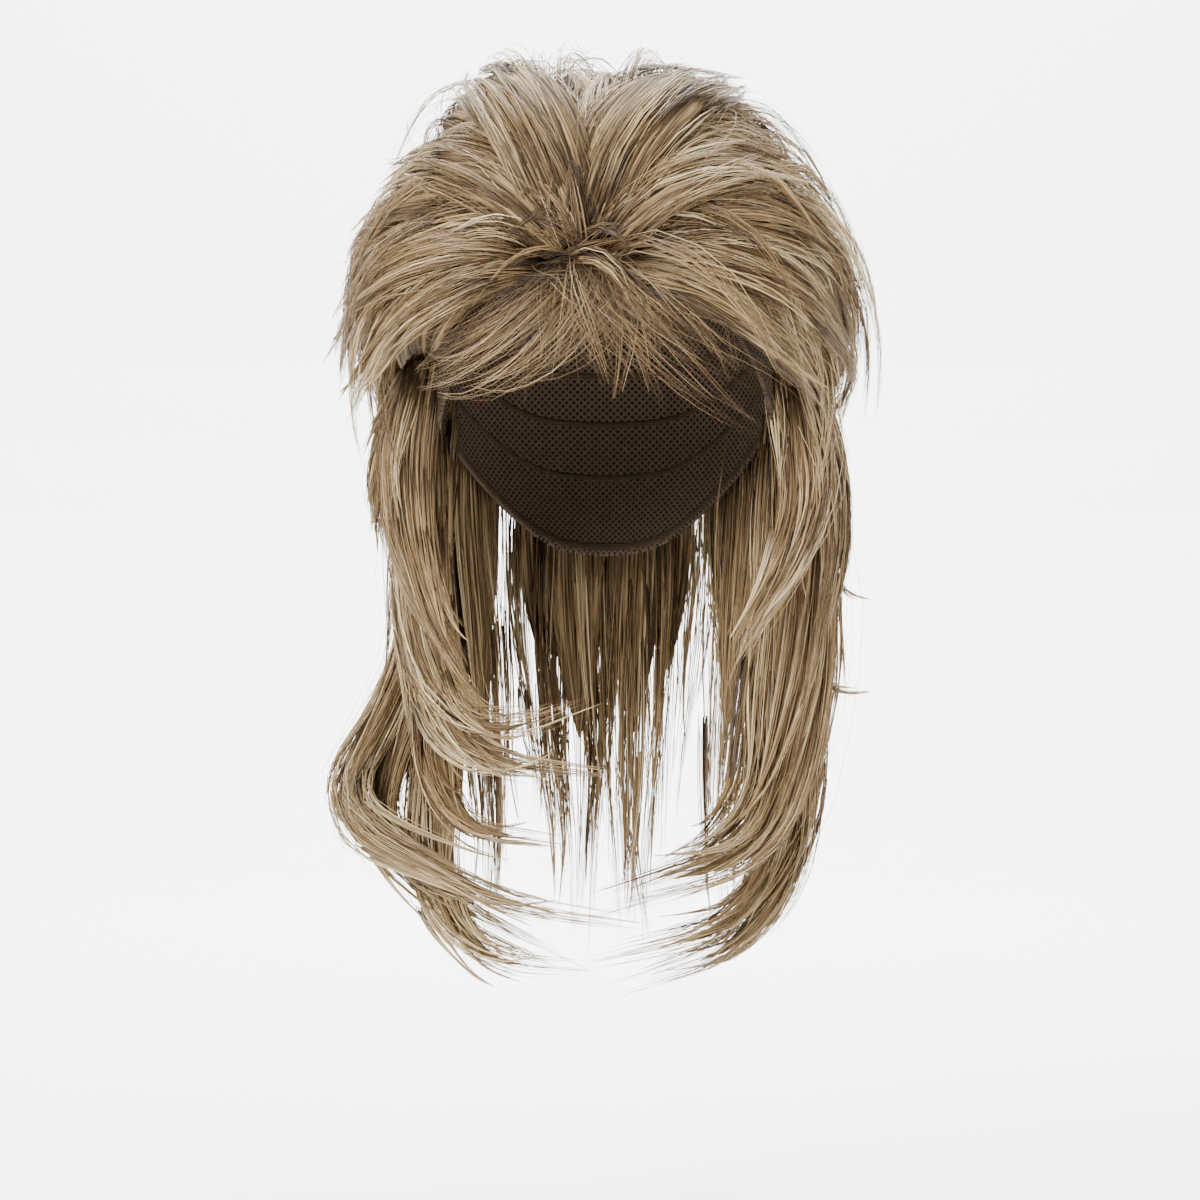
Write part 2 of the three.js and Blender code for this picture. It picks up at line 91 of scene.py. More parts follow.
def new_material(name, roughness, gloss=0.1):
    """A material, its node tree and its surface shader."""
    material = bpy.data.materials.new(name)
    material.use_nodes = True
    shader = material.node_tree.nodes["Principled BSDF"]
    shader.inputs["Roughness"].default_value = roughness
    shader.inputs["Specular IOR Level"].default_value = gloss
    return material, material.node_tree, shader


def add_node(tree, kind, links=(), **settings):
    """A node with its settings. Links join (output of another node, name or number of this one's input)."""
    node = tree.nodes.new(kind)
    for name, value in settings.items():
        if hasattr(node, name):
            setattr(node, name, value)
        else:
            node.inputs[name.replace("_", " ")].default_value = value
    for output, socket in links:
        tree.links.new(output, node.inputs[socket])
    return node


def add_ramp(tree, factor, stops):
    """A colour ramp through (place, hex colour) stops."""
    ramp = add_node(tree, "ShaderNodeValToRGB", [(factor, "Fac")])
    while len(ramp.color_ramp.elements) < len(stops):
        ramp.color_ramp.elements.new(0.5)
    for element, (place, colour) in zip(ramp.color_ramp.elements, stops):
        element.position = place
        element.color = linear(colour)
    return ramp.outputs["Color"]


def around(turn, fall):
    """The direction from the head's middle at degrees round from the face and down from the crown."""
    turn, fall = np.radians(turn), np.radians(fall)
    return np.stack([np.sin(fall) * np.sin(turn), -np.sin(fall) * np.cos(turn), np.cos(fall) + 0 * turn], -1)


def off_cap(direction, lift):
    """The point in a direction at a height off the outside of the cap."""
    reach = np.array([HALF_WIDTH, HALF_LENGTH, HEAD_DOME]) + CAP_WALL + np.asarray(lift)[..., None]
    return direction * reach + np.array([0, HEAD_BACK, -HEAD_DOME])


def edge_fall(edge, turn):
    """An edge's fall at any turn, the same on both sides, with its corners eased."""
    folded = np.abs((np.asarray(turn)[..., None] + EDGE_ROUNDING + 540) % 360 - 180)
    return np.interp(folded, list(edge), list(edge.values())).mean(-1)


def mesh_piece(name, points, faces, material, uv=None):
    """A smooth-shaded mesh object from points, and faces as arrays of point numbers."""
    mesh = bpy.data.meshes.new(name)
    mesh.from_pydata(points.reshape(-1, 3).tolist(), [], [face for part in faces for face in part.tolist()])
    mesh.polygons.foreach_set("use_smooth", np.ones(len(mesh.polygons), bool))
    if uv is not None:
        corner = np.empty(len(mesh.loops), np.int32)
        mesh.loops.foreach_get("vertex_index", corner)
        mesh.uv_layers.new(name="lie").data.foreach_set("uv", uv.reshape(-1, 2)[corner].ravel())
    mesh.materials.append(material)
    piece = bpy.data.objects.new(name, mesh)
    bpy.context.scene.collection.objects.link(piece)
    return piece


def grid_faces(rows, columns, first=0):
    """Quads between rows of points, each row closed into a ring."""
    row, column = np.meshgrid(np.arange(rows - 1), np.arange(columns), indexing="ij")
    beside = (column + 1) % columns
    corners = [row * columns + column, row * columns + beside, (row + 1) * columns + beside]
    corners.append((row + 1) * columns + column)
    return first + np.stack(corners, -1).reshape(-1, 4)


def dome_shell(name, edge, inside, outside, material, lie):
    """A closed shell between two heights off the cap, from the crown down to an edge."""
    turns = np.arange(CAP_TURNS) * 360 / CAP_TURNS
    share = np.linspace(0, 1, CAP_FALLS)[1:, None]
    falls = share * edge_fall(edge, turns)
    inner = off_cap(around(turns, falls), inside(turns, 1 - share) + 0 * falls)
    outer = off_cap(around(turns, falls), outside(turns, 1 - share) + 0 * falls)[::-1]
    top = around(0, 0)
    ends = [off_cap(top, inside(0, 1)), off_cap(top, outside(0, 1))]
    points = np.vstack([inner.reshape(-1, 3), outer.reshape(-1, 3), ends])
    rings = 2 * (CAP_FALLS - 1)
    k = np.arange(CAP_TURNS)
    beside = (k + 1) % CAP_TURNS
    last = (rings - 1) * CAP_TURNS
    inner_fan = np.stack([beside, k, 0 * k + len(points) - 2], -1)
    outer_fan = np.stack([last + k, last + beside, 0 * k + len(points) - 1], -1)
    faces = [grid_faces(rings, CAP_TURNS), inner_fan, outer_fan]
    flat = np.concatenate([falls, falls[::-1]])
    uv = lie(np.broadcast_to(turns, flat.shape), flat).reshape(-1, 2)
    uv = np.vstack([uv, lie(np.zeros(2), np.zeros(2))])
    return mesh_piece(name, points, faces, material, uv)


def band_round(name, rows, size, lift, material):
    """Closed bands round the cap, each along a row of falls."""
    turns = np.arange(CAP_TURNS) * 360 / CAP_TURNS
    section = np.radians(np.arange(6) * 60)
    sides = len(section)
    points, faces = [], []
    for row in rows:
        fall = row[:, None] + np.degrees(size[0] / HALF_LENGTH) * np.cos(section)
        height = lift + size[1] * np.sin(section) + 0 * fall
        first = len(points) * CAP_TURNS * sides
        last = first + (CAP_TURNS - 1) * sides
        k = np.arange(sides)
        beside = (k + 1) % sides
        points.append(off_cap(around(turns[:, None], fall), height))
        faces.append(grid_faces(CAP_TURNS, sides, first))
        faces.append(np.stack([last + k, last + beside, first + beside, first + k], -1))
    return mesh_piece(name, np.array(points), faces, material)


net_fabric, tree, shader = new_material("stretch_net", 0.85)
lie = add_node(tree, "ShaderNodeUVMap", uv_map="lie").outputs["UV"]
threads = []
for slant in (45, -45):
    turned = add_node(tree, "ShaderNodeMapping", [(lie, "Vector")])
    turned.inputs["Rotation"].default_value[2] = math.radians(slant)
    thread = add_node(
        tree, "ShaderNodeTexWave", [(turned.outputs["Vector"], "Vector")], Scale=WAVE_PERIOD / NET_CELL,
    )
    threads.append(thread.outputs["Fac"])
meeting = add_node(tree, "ShaderNodeMath", [(threads[0], 0), (threads[1], 1)], operation="MAXIMUM")
crossing = meeting.outputs[0]
colour = add_ramp(tree, crossing, [(0.45, "#15100C"), (0.8, "#43372A")])
tree.links.new(colour, shader.inputs["Base Color"])
raised = add_node(tree, "ShaderNodeBump", [(crossing, "Height")], Strength=0.6, Distance=0.3 * MM)
tree.links.new(raised.outputs["Normal"], shader.inputs["Normal"])

ribbon, tree, shader = new_material("edge_ribbon", 0.85)
where = add_node(tree, "ShaderNodeTexCoord").outputs["Object"]
rib = add_node(
    tree, "ShaderNodeTexWave", [(where, "Vector")], bands_direction="Z", Scale=WAVE_PERIOD / RIBBON_RIB,
)
colour = add_ramp(tree, rib.outputs["Fac"], [(0.2, "#221A13"), (0.9, "#3E3226")])
tree.links.new(colour, shader.inputs["Base Color"])
raised = add_node(tree, "ShaderNodeBump", [(rib.outputs["Fac"], "Height")], Strength=0.4, Distance=0.2 * MM)
tree.links.new(raised.outputs["Normal"], shader.inputs["Normal"])


def lie_round(turn, fall):
    """Flat net coordinates in metres: round the head, and down from the crown."""
    return np.stack([np.radians(turn) * HALF_WIDTH, np.radians(fall) * HALF_LENGTH], -1)


cap_rim = edge_fall(CAP_EDGE, np.arange(CAP_TURNS) * 360 / CAP_TURNS)
weft_falls = [share * (share**2 * cap_rim + (1 - share**2) * WEFT_LEVEL) for share in WEFT_ROWS]
cap = dome_shell("net_cap", CAP_EDGE, lambda turn, up: -CAP_WALL, lambda turn, up: 0, net_fabric, lie_round)
weft_rows = band_round("weft_rows", weft_falls, WEFT_BAND, -CAP_WALL, ribbon)
binding = band_round("edge_binding", [0.98 * cap_rim], BINDING, -CAP_WALL / 2, ribbon)
for piece in (cap, weft_rows, binding):
    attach(piece, "root")
    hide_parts("wig_cap")

# The crown
# Short synthetic hair teased up and combed back from a whorl over the forehead, in overlapping locks.
# Each lock is a soft core under fine strands, and smaller locks that lie along it break up its form.
CROWN_LIFT = 40 * MM
CROWN_RIM = {"front": 7 * MM, "side": 16 * MM, "back": 20 * MM}
CROWN_GAP = 1.3 * MM
LOCK_WIDTH = 50 * MM
LOCK_THICK = 20 * MM
CROWN_EDGE = {0: 44, 40: 54, 70: 76, 110: 88, 180: 92}
WHORL = (-8, 52)  # degrees round and down
CROWN_ROWS = [  # degrees of fan round the whorl and of sweep away from it, then shares of the sizes above
    {"fan": (36, 144), "tousle": (0.82, 1.12, 0.9, 1.22, 0.94), "sweep": (4, 66), "lift": (0.26, 1.12, 1.46),
     "width": 0.96, "thick": 0.85},
    {"fan": (28, 152), "tousle": (0.7, 0.98, 1.04, 1.16, 0.88), "sweep": (34, 96), "lift": (0.7, 1.2, 1.36),
     "width": 0.96, "thick": 0.85},
    {"fan": (24, 156), "tousle": (0.7, 0.94, 1.04, 0.84), "sweep": (62, 126), "lift": (0.6, 0.98, 0.94),
     "width": 1.08, "thick": 0.85},
]
CROWN_BACK = [
    {"turn": 112, "fall": (48, 104), "lift": (0.4, 0.66, 0.6), "width": 0.88, "thick": 0.7},
    {"turn": 134, "fall": (44, 116), "lift": (0.4, 0.74, 0.78), "width": 0.96, "thick": 0.75},
    {"turn": 157, "fall": (44, 112), "lift": (0.4, 0.76, 0.76), "width": 0.92, "thick": 0.75},
    {"turn": 180, "fall": (44, 120), "lift": (0.4, 0.8, 0.86), "width": 0.96, "thick": 0.75},
    {"turn": 203, "fall": (44, 113), "lift": (0.4, 0.76, 0.76), "width": 0.92, "thick": 0.75},
    {"turn": 226, "fall": (44, 118), "lift": (0.4, 0.74, 0.8), "width": 0.96, "thick": 0.75},
    {"turn": 248, "fall": (48, 105), "lift": (0.4, 0.66, 0.6), "width": 0.88, "thick": 0.7},
]
MASS_FILL = 0.94  # the soft mass stops a little short of the strands over it
MASS_ROUNDING = 0.14  # share of the way up from the edge over which it comes to its full height
MASS_RIM = 0.1  # share of its height that is left at the very edge
WHORL_SPREAD = (9, 3)  # degrees round and down over which the roots of the hair spread
TUFTS = 290
BARE_TUFTS = 6  # so many more would cover the bare patch round the whorl
TUFTS_FAN = (2, 178)  # degrees
TUFTS_REACH = {"side": 74, "more_at_back": 56}  # degrees of sweep
GOLDEN_SHARE = 0.618034  # steps by this share of a turn cover it evenly
CURLS = 13  # on each side of the crown's top
FAN_RADIUS = 60 * MM
SWEEP_RADIUS = 120 * MM
STRAND = (0.46 * MM, 0.17 * MM)  # half width and half thickness of a strand of many fibres at its root
FINE_STRAND = (0.24 * MM, 0.14 * MM)
CLUMP = 6 * MM  # strands gather into points about this far apart
STREAK = (0.32 * MM, 40 * MM)  # across and along the fibres of a strand
CORE_STREAK = (1.1 * MM, 60 * MM)  # and of a core
rng = np.random.default_rng(7)


def combed(fan, sweep, centre=WHORL):
    """The direction at degrees of fan round the whorl and degrees of sweep away from it."""
    whorl = around(*centre)
    across = np.array([math.cos(math.radians(centre[0])), math.sin(math.radians(centre[0])), 0])
    up = -np.cross(across, whorl)
    fan, sweep = np.radians(fan)[..., None], np.radians(sweep)[..., None]
    return whorl * np.cos(sweep) + np.sin(sweep) * (across * np.cos(fan) + up * np.sin(fan))


def crown_lift(turn, height):
    """The height of the crown's mass, from its edge at 0 to the top at 1."""
    towards_face = np.cos(np.radians(turn))
    end = np.where(towards_face > 0, CROWN_RIM["front"], CROWN_RIM["back"]) * np.abs(towards_face)
    rim = CROWN_RIM["side"] * (1 - np.abs(towards_face)) + end
    return rim + (CROWN_LIFT - rim) * np.sin(math.pi / 2 * np.minimum(1, height * 1.5))


def laid(direction_at, row):
    """A lock laid over the head: it lifts from the root to its full height, then to its tip."""
    shares = np.array([0, 0.22, 0.5, 0.78, 1])
    root, body, tip = row["lift"]
    heights = np.array([root, (root + 2 * body) / 3, body, (2 * body + tip) / 3, tip]) * CROWN_LIFT
    return {**row, "route": off_cap(direction_at(shares), heights)}


def combed_lock(row, centre=WHORL):
    """A lock combed away from the whorl, bent to a side and swirled round it at its root."""
    low, high = row["sweep"]
    bend, swirl = row.get("bend", 0), row.get("swirl", 0)

    def direction_at(s):
        return combed(row["fan"] + bend * s + swirl * (1 - 1.1 * s**2), low + (high - low) * s, centre)

    return laid(direction_at, row)


def falling_lock(row):
    """A lock laid straight down the back of the head."""
    low, high = row["fall"]
    return laid(lambda s: around(row["turn"] + 0 * s, low + (high - low) * s), row)


def course(route, places):
    """Evenly spaced points along a smooth curve through a route, and the way it runs at each."""
    ends = np.vstack([2 * route[0] - route[1], route, 2 * route[-1] - route[-2]])
    gap = np.linalg.norm(np.diff(ends, axis=0), axis=1) ** 0.5
    t = np.linspace(0, 1, 16, endpoint=False)[:, None]
    runs = []
    for i in range(1, len(ends) - 2):
        before, here, after = gap[i - 1:i + 2]
        a, b, c, d = ends[i - 1:i + 3]
        leave = ((b - a) / before - (c - a) / (before + here) + (c - b) / here) * here
        arrive = ((c - b) / here - (d - b) / (here + after) + (d - c) / after) * here
        runs.append((2 * t**3 - 3 * t**2 + 1) * b + (t**3 - 2 * t**2 + t) * leave
                    + (3 * t**2 - 2 * t**3) * c + (t**3 - t**2) * arrive)
    fine = np.vstack(runs + [route[-1:]])
    far = np.concatenate([[0], np.cumsum(np.linalg.norm(np.diff(fine, axis=0), axis=1))])
    even = np.linspace(0, far[-1], places)
    points = np.stack([np.interp(even, far, fine[:, k]) for k in range(3)], -1)
    along = np.gradient(points, axis=0)
    return points, along / np.linalg.norm(along, axis=1)[:, None], far[-1]


def unit(way):
    """The same direction at a length of one."""
    return way / np.linalg.norm(way, axis=-1, keepdims=True)


def outwards(points, front):
    """Away from the head above its widest level and away from the neck below, turned to the front."""
    out = np.stack([
        points[..., 0] / HALF_WIDTH**2,
        (points[..., 1] - HEAD_BACK) / HALF_LENGTH**2,
        np.maximum(0, points[..., 2] + HEAD_DOME) / HEAD_DOME**2,
    ], -1)
    return unit(unit(out) * (1 - front)[..., None] + np.array([0, -1, 0]) * front[..., None])


def lock_frame(lock, places=32):
    """The middle of a lock, its two half directions and half sizes at even places along it."""
    points, along, length = course(lock["route"], places)
    share = np.linspace(0, 1, places)
    facing = lock.get("facing", (0, 0))
    out = outwards(points, facing[0] + (facing[1] - facing[0]) * share)
    across = unit(np.cross(along, out))
    swell = 0.66 + 0.34 * np.sin(math.pi * np.minimum(1, share * 1.25)) - 0.3 * share**3
    return {
        "points": points, "along": along, "across": across, "face": unit(np.cross(across, along)),
        "half_width": lock["width"] / 2 * LOCK_WIDTH * swell, "length": length,
        "half_thick": lock["thick"] / 2 * LOCK_THICK * swell,
    }


def part_way(frame, share):
    """A lock's frame at any shares of its length."""
    place = np.clip(share, 0, 1) * (len(frame["points"]) - 1)
    low = np.minimum(place.astype(int), len(frame["points"]) - 2)
    part = place - low
    at = {}
    for key in ("points", "along", "across", "face", "half_width", "half_thick"):
        blend = part if frame[key].ndim == 1 else part[..., None]
        at[key] = frame[key][low] * (1 - blend) + frame[key][low + 1] * blend
    return at


def smaller_locks(lock, count, width=(0.1, 0.24), reach=(0.35, 0.75), flick=6 * MM, outer=0.85):
    """Small locks that lie along a lock, each from its own root to its own flicked tip."""
    frame = lock_frame(lock)
    t = np.linspace(0, 1, 7)
    facing = lock.get("facing", (0, 0))
    small = []
    for _ in range(count):
        start = rng.uniform(0, 0.08) if rng.random() < 0.35 else rng.uniform(0, 1 - reach[0])
        end = min(start + rng.uniform(*reach), rng.uniform(0.88, 1.0))
        share = start + (end - start) * t
        at = part_way(frame, share)
        u = np.clip(rng.uniform(-0.95, 0.95) + rng.normal(0, 0.25) * t, -1, 1)
        side = 1 if rng.random() < outer else -1
        v = side * np.sqrt(1 - u**2) * (0.6 + 0.4 * t)
        out = at["half_thick"] * v + side * flick * rng.uniform(-0.2, 1) * t**3
        turned = rng.normal(0, 0.7) * t**3 + 0.3 * np.sin(5 * t + rng.uniform(0, 6)) * t
        over = at["half_width"] * u + flick * turned
        route = at["points"] + at["across"] * over[:, None] + at["face"] * out[:, None]
        small.append({
            "route": route, "width": rng.uniform(*width), "thick": rng.uniform(0.2, 0.42),
            "facing": tuple(facing[0] + (facing[1] - facing[0]) * share[[0, -1]]),
            "tone": rng.normal(0.5, 0.12),
        })
    return small


def core_mesh(name, locks, material, fill=0.76, end=0.93):
    """Soft ridged cores for locks, with lengthwise coordinates in metres."""
    sides, rings = 18, 20
    angle = np.radians(np.arange(sides) * 360 / sides)
    points, faces, uv = [], [], []
    for lock in locks:
        share = np.linspace(0, end, rings)
        f = lock_frame(lock)
        at = part_way(f, share)
        share = share[:, None]
        ridge = 1 + 0.1 * np.sin(5 * angle + 4 * share + rng.uniform(0, 6))
        ridge = ridge + 0.06 * np.sin(9 * angle + 7 * share)
        taper = fill * ridge * (1 - 0.97 * (share / end) ** 4)
        wide = at["across"][:, None] * (at["half_width"][:, None] * taper * np.cos(angle))[..., None]
        deep = at["face"][:, None] * (at["half_thick"][:, None] * taper * np.sin(angle))[..., None]
        ring = at["points"][:, None] + wide + deep
        first = sum(len(p) for p in points)
        body = np.vstack([ring.reshape(-1, 3), ring[0].mean(0), ring[-1].mean(0)])
        k = np.arange(sides)
        beside = (k + 1) % sides
        last = (rings - 1) * sides
        root_fan = np.stack([beside, k, 0 * k + rings * sides], -1)
        tip_fan = np.stack([last + k, last + beside, 0 * k + rings * sides + 1], -1)
        faces += [grid_faces(rings, sides, first), first + root_fan, first + tip_fan]
        points.append(body)
        side_way = (angle - math.pi) * lock["width"] / 4 * LOCK_WIDTH + rng.uniform(0, 1)
        flat = np.stack(np.broadcast_arrays(side_way, share * f["length"]), -1).reshape(-1, 2)
        uv.append(np.vstack([flat, flat[:1], flat[-1:]]))
    return mesh_piece(name, np.vstack(points), faces, material, np.vstack(uv))


def strand_paths(lock, count, rings, loose=0.05, stray=(0.86, 1.03), size=STRAND, gathered=0.86):
    """Strands along a lock: spread over it at the root, gathered into points at the tip."""
    f = lock_frame(lock)
    clumps = max(1, round(lock["width"] * LOCK_WIDTH / CLUMP))
    clump_u = (np.arange(clumps) + 0.5) / clumps * 1.7 - 0.85 + rng.uniform(-0.3, 0.3, clumps) / clumps
    clump_v = rng.uniform(-0.6, 0.9, clumps) * np.sqrt(1 - clump_u**2)
    clump_end = rng.uniform(*stray, clumps)
    clump_tone = rng.normal(0, 0.08, clumps)
    u = rng.uniform(-1, 1, count)
    own = np.abs(u[:, None] + rng.normal(0, 0.25, (count, 1)) - clump_u).argmin(1)
    v = np.where(rng.random(count) < 0.75, 1, -1) * np.sqrt(1 - u**2) * rng.uniform(0.6, 1.05, count)
    wild = np.where(rng.random(count) < loose, rng.uniform(1.4, 2.6, count), 1)
    start = rng.uniform(0, 0.14, count)
    end = clump_end[own] * rng.uniform(0.84, 1.0, count)
    t = np.linspace(0, 1, rings)
    share = start[:, None] + (end - start)[:, None] * t
    gather = gathered * t**1.3
    wave = rng.uniform(0, 2 * math.pi, (4, count, 1))
    swing = 0.1 * wild[:, None] ** 2 * t
    point_u = clump_u[own] + rng.normal(0, 0.07, count)
    point_v = clump_v[own] + rng.normal(0, 0.14, count)
    here_u = (u * wild)[:, None] * (1 - gather) + point_u[:, None] * gather
    here_v = (v * wild)[:, None] * (1 - gather) + point_v[:, None] * gather
    here_u = here_u + swing * (np.sin(4 * t + wave[0]) + 0.3 * np.sin(9 * t + wave[1]))
    here_u = here_u + lock.get("curl", 0) * rng.uniform(0.2, 1.4, (count, 1)) * t**2
    here_v = here_v + swing * 2 * (np.sin(4 * t + wave[2]) + 0.3 * np.sin(8 * t + wave[3]))
    at = part_way(f, share)
    middle = at["points"] + at["across"] * (at["half_width"] * here_u)[..., None]
    middle = middle + at["face"] * (at["half_thick"] * here_v)[..., None]
    middle = middle + at["along"] * (np.maximum(0, share - 1) * f["length"])[..., None]
    roll = rng.normal(0, 0.5, (count, 1, 1))
    across = at["across"] * np.cos(roll) + at["face"] * np.sin(roll)
    face = at["face"] * np.cos(roll) - at["across"] * np.sin(roll)
    taper = (1 - 0.72 * t**1.8) * np.where(wild > 1, 0.45, rng.uniform(0.45, 1.15, count))[:, None]
    tone = lock.get("tone", 0.5) + clump_tone[own] + rng.normal(0, 0.12, count)
    return {
        "middle": middle, "across": across, "face": face, "half_width": size[0] * taper,
        "half_thick": size[1] * taper, "tone": np.clip(tone, 0, 1)[:, None] + 0 * share, "share": share,
        "far": share * f["length"],
    }


def strand_mesh(name, bundles, material):
    """Closed three-sided tapering strands from bundles of paths, with their tone and place on the lock."""
    points, faces, tones, shares, uv = [], [], [], [], []
    first = 0
    corner = np.radians([90, 210, 330])
    for b in bundles:
        count, rings = b["share"].shape
        wide = b["half_width"][..., None] * np.cos(corner)
        deep = b["half_thick"][..., None] * np.sin(corner)
        ring = b["middle"][:, :, None] + b["across"][:, :, None] * wide[..., None]
        ring = ring + b["face"][:, :, None] * deep[..., None]
        tip = b["middle"][:, -1] + (b["middle"][:, -1] - b["middle"][:, -2]) * 0.3
        body = np.concatenate([ring.reshape(count, -1, 3), tip[:, None]], 1)
        base = first + np.arange(count)[:, None, None] * (rings * 3 + 1)
        quads = (base + grid_faces(rings, 3)[None]).reshape(-1, 4)
        top = (rings - 1) * 3
        point = top + 3
        ends = np.array([[2, 1, 0], [top, top + 1, point], [top + 1, top + 2, point], [top + 2, top, point]])
        faces += [quads, (base + ends[None]).reshape(-1, 3)]
        points.append(body.reshape(-1, 3))
        for kept, values in ((tones, b["tone"]), (shares, b["share"])):
            kept.append(np.concatenate([np.repeat(values, 3, axis=1), values[:, -1:]], 1).ravel())
        own_place = rng.uniform(0, 1, (count, 1, 1))
        flat = np.stack(np.broadcast_arrays(wide + own_place, b["far"][..., None]), -1).reshape(count, -1, 2)
        uv.append(np.concatenate([flat, flat[:, -1:]], 1).reshape(-1, 2))
        first += count * (rings * 3 + 1)
    piece = mesh_piece(name, np.vstack(points), faces, material, np.vstack(uv))
    for title, values in (("tone", tones), ("share", shares)):
        attribute = piece.data.attributes.new(title, "FLOAT", "POINT")
        attribute.data.foreach_set("value", np.concatenate(values).astype(np.float32))
    return piece


def add_streak(tree, size):
    """Noise drawn out along the fibres."""
    lie = add_node(tree, "ShaderNodeUVMap", uv_map="lie").outputs["UV"]
    drawn = add_node(tree, "ShaderNodeMapping", [(lie, "Vector")])
    drawn.inputs["Scale"].default_value = (1 / size[0], 1 / size[1], 1)
    place = drawn.outputs["Vector"]
    noise = add_node(tree, "ShaderNodeTexNoise", [(place, "Vector")], Scale=1, Detail=4, Roughness=0.6)
    return noise.outputs["Fac"]


# Painted shade: the cores carry hair streaks in dark tones, so the mass under the strands shows as the shade
# between them.
hair_core_painted_shade, tree, shader = new_material("hair_core_painted_shade", 0.75)
streak = add_streak(tree, CORE_STREAK)
colour = add_ramp(tree, streak, [(0.38, "#1A1107"), (0.5, "#493925"), (0.62, "#877251")])
tree.links.new(colour, shader.inputs["Base Color"])
raised = add_node(tree, "ShaderNodeBump", [(streak, "Height")], Strength=0.8, Distance=0.6 * MM)
tree.links.new(raised.outputs["Normal"], shader.inputs["Normal"])

hair_strand, tree, shader = new_material("hair_strand", 0.45, 0.32)
streak = add_streak(tree, STREAK)
tone = add_node(tree, "ShaderNodeAttribute", attribute_name="tone").outputs["Fac"]
share = add_node(tree, "ShaderNodeAttribute", attribute_name="share").outputs["Fac"]
spread = add_node(tree, "ShaderNodeMath", [(streak, 0)], operation="SUBTRACT")
spread.inputs[1].default_value = 0.5
varied = add_node(tree, "ShaderNodeMath", [(spread.outputs[0], 0), (tone, 2)], operation="MULTIPLY_ADD")
varied.inputs[1].default_value = 1.1
fibre_tones = [(0.05, "#231707"), (0.35, "#60492C"), (0.6, "#8F7650"), (0.95, "#CFBD98")]
colour = add_ramp(tree, varied.outputs[0], fibre_tones)
# Painted shade: each strand's colour is multiplied darker towards its root, near the cap, where the hair
# over it shades it.
painted_root_shade = add_ramp(tree, share, [(0.0, "#66543E"), (0.42, "#FFFFFF")])
mixed = add_node(tree, "ShaderNodeMix", data_type="RGBA", blend_type="MULTIPLY")
mixed.inputs["Factor"].default_value = 1
tree.links.new(colour, mixed.inputs["A"])
tree.links.new(painted_root_shade, mixed.inputs["B"])
tree.links.new(mixed.outputs["Result"], shader.inputs["Base Color"])
raised = add_node(tree, "ShaderNodeBump", [(streak, "Height")], Strength=0.7, Distance=0.15 * MM)
tree.links.new(raised.outputs["Normal"], shader.inputs["Normal"])


def dress(node, *pieces):
    """Pieces of hair that stand for a solid of the frame."""
    for piece in pieces:
        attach(piece, "root")
        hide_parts(node)


def haired(name, locks, under, small, each, rings, stray=(0.86, 1.03), **ways):
    """Strands over locks: some along each whole lock, the rest in small locks that lie along it."""
    bundles = [strand_paths(lock, under, rings + 1, stray=stray) for lock in locks]
    for lock in locks:
        bundles += [strand_paths(part, each, rings, 0.07) for part in smaller_locks(lock, small, **ways)]
    return strand_mesh(name, bundles, hair_strand)


def lie_fanned(turn, fall):
    """Flat coordinates that run out from the whorl."""
    way = around(turn, fall)
    whorl = around(*WHORL)
    across = np.array([1, 0, 0])
    up = -np.cross(across, whorl)
    sweep = np.arccos(np.clip(way @ whorl, -1, 1))
    return np.stack([np.arctan2(way @ across, way @ up) * FAN_RADIUS, sweep * SWEEP_RADIUS], -1)


combed_rows = []
for row in CROWN_ROWS:
    for k, raise_by in enumerate(row["tousle"]):
        fan = row["fan"][0] + (row["fan"][1] - row["fan"][0]) * k / (len(row["tousle"]) - 1)
        lift = [height * raise_by for height in row["lift"]]
        combed_rows.append(combed_lock({**row, "fan": fan, "lift": lift}))
fallen_rows = [falling_lock(row) for row in CROWN_BACK]


def loose_whorl():
    """A place near the whorl for the roots of one small lock."""
    return (WHORL[0] + rng.normal(0, WHORL_SPREAD[0]), WHORL[1] + rng.normal(0, WHORL_SPREAD[1]))


def mass_lift(turn, up):
    """The height of the soft mass: a little short of the strands over it, with its edge rounded off."""
    round_edge = np.sqrt(1 - (1 - np.minimum(1, up / MASS_ROUNDING)) ** 2)
    rounded = MASS_RIM + (1 - MASS_RIM) * round_edge
    return CROWN_GAP + (crown_lift(turn, up) * MASS_FILL - CROWN_GAP) * rounded


def mass_share(fan, sweep):
    """The height of the crown's mass at a place, as a share of its lift."""
    way = combed(np.array(fan), np.array(sweep))
    turn = math.degrees(math.atan2(way[0], -way[1]))
    fall = math.degrees(math.acos(way[2]))
    return crown_lift(turn, max(0, 1 - fall / edge_fall(CROWN_EDGE, turn))) / CROWN_LIFT


def crown_tuft(place):
    """A small lock laid over the crown's mass, its root sunk in the mass and its tip a little proud."""
    fan = TUFTS_FAN[0] + (TUFTS_FAN[1] - TUFTS_FAN[0]) * (place * GOLDEN_SHARE % 1)
    furthest = TUFTS_REACH["side"] + TUFTS_REACH["more_at_back"] * math.sin(math.radians(fan)) ** 4
    share = (place + BARE_TUFTS) / (TUFTS + BARE_TUFTS)
    half = rng.uniform(11, 24)
    middle_sweep = math.degrees(math.acos(1 - share * (1 - math.cos(math.radians(furthest)))))
    sweep = (max(2, middle_sweep - half), middle_sweep + half)
    proud = rng.uniform(0.03, 0.3)
    lift = (
        0.75 * mass_share(fan, sweep[0]), mass_share(fan, middle_sweep) + 0.8 * proud + 0.1,
        mass_share(fan, sweep[1]) + proud,
    )
    bend = rng.uniform(-24, 24) - 12 * math.cos(math.radians(fan))
    row = {"fan": fan, "bend": bend, "sweep": sweep, "lift": lift}
    return combed_lock({**row, "width": rng.uniform(0.14, 0.32), "thick": rng.uniform(0.25, 0.45),
                        "curl": rng.uniform(-1.3, 1.3), "tone": rng.normal(0.53, 0.13)}, loose_whorl())


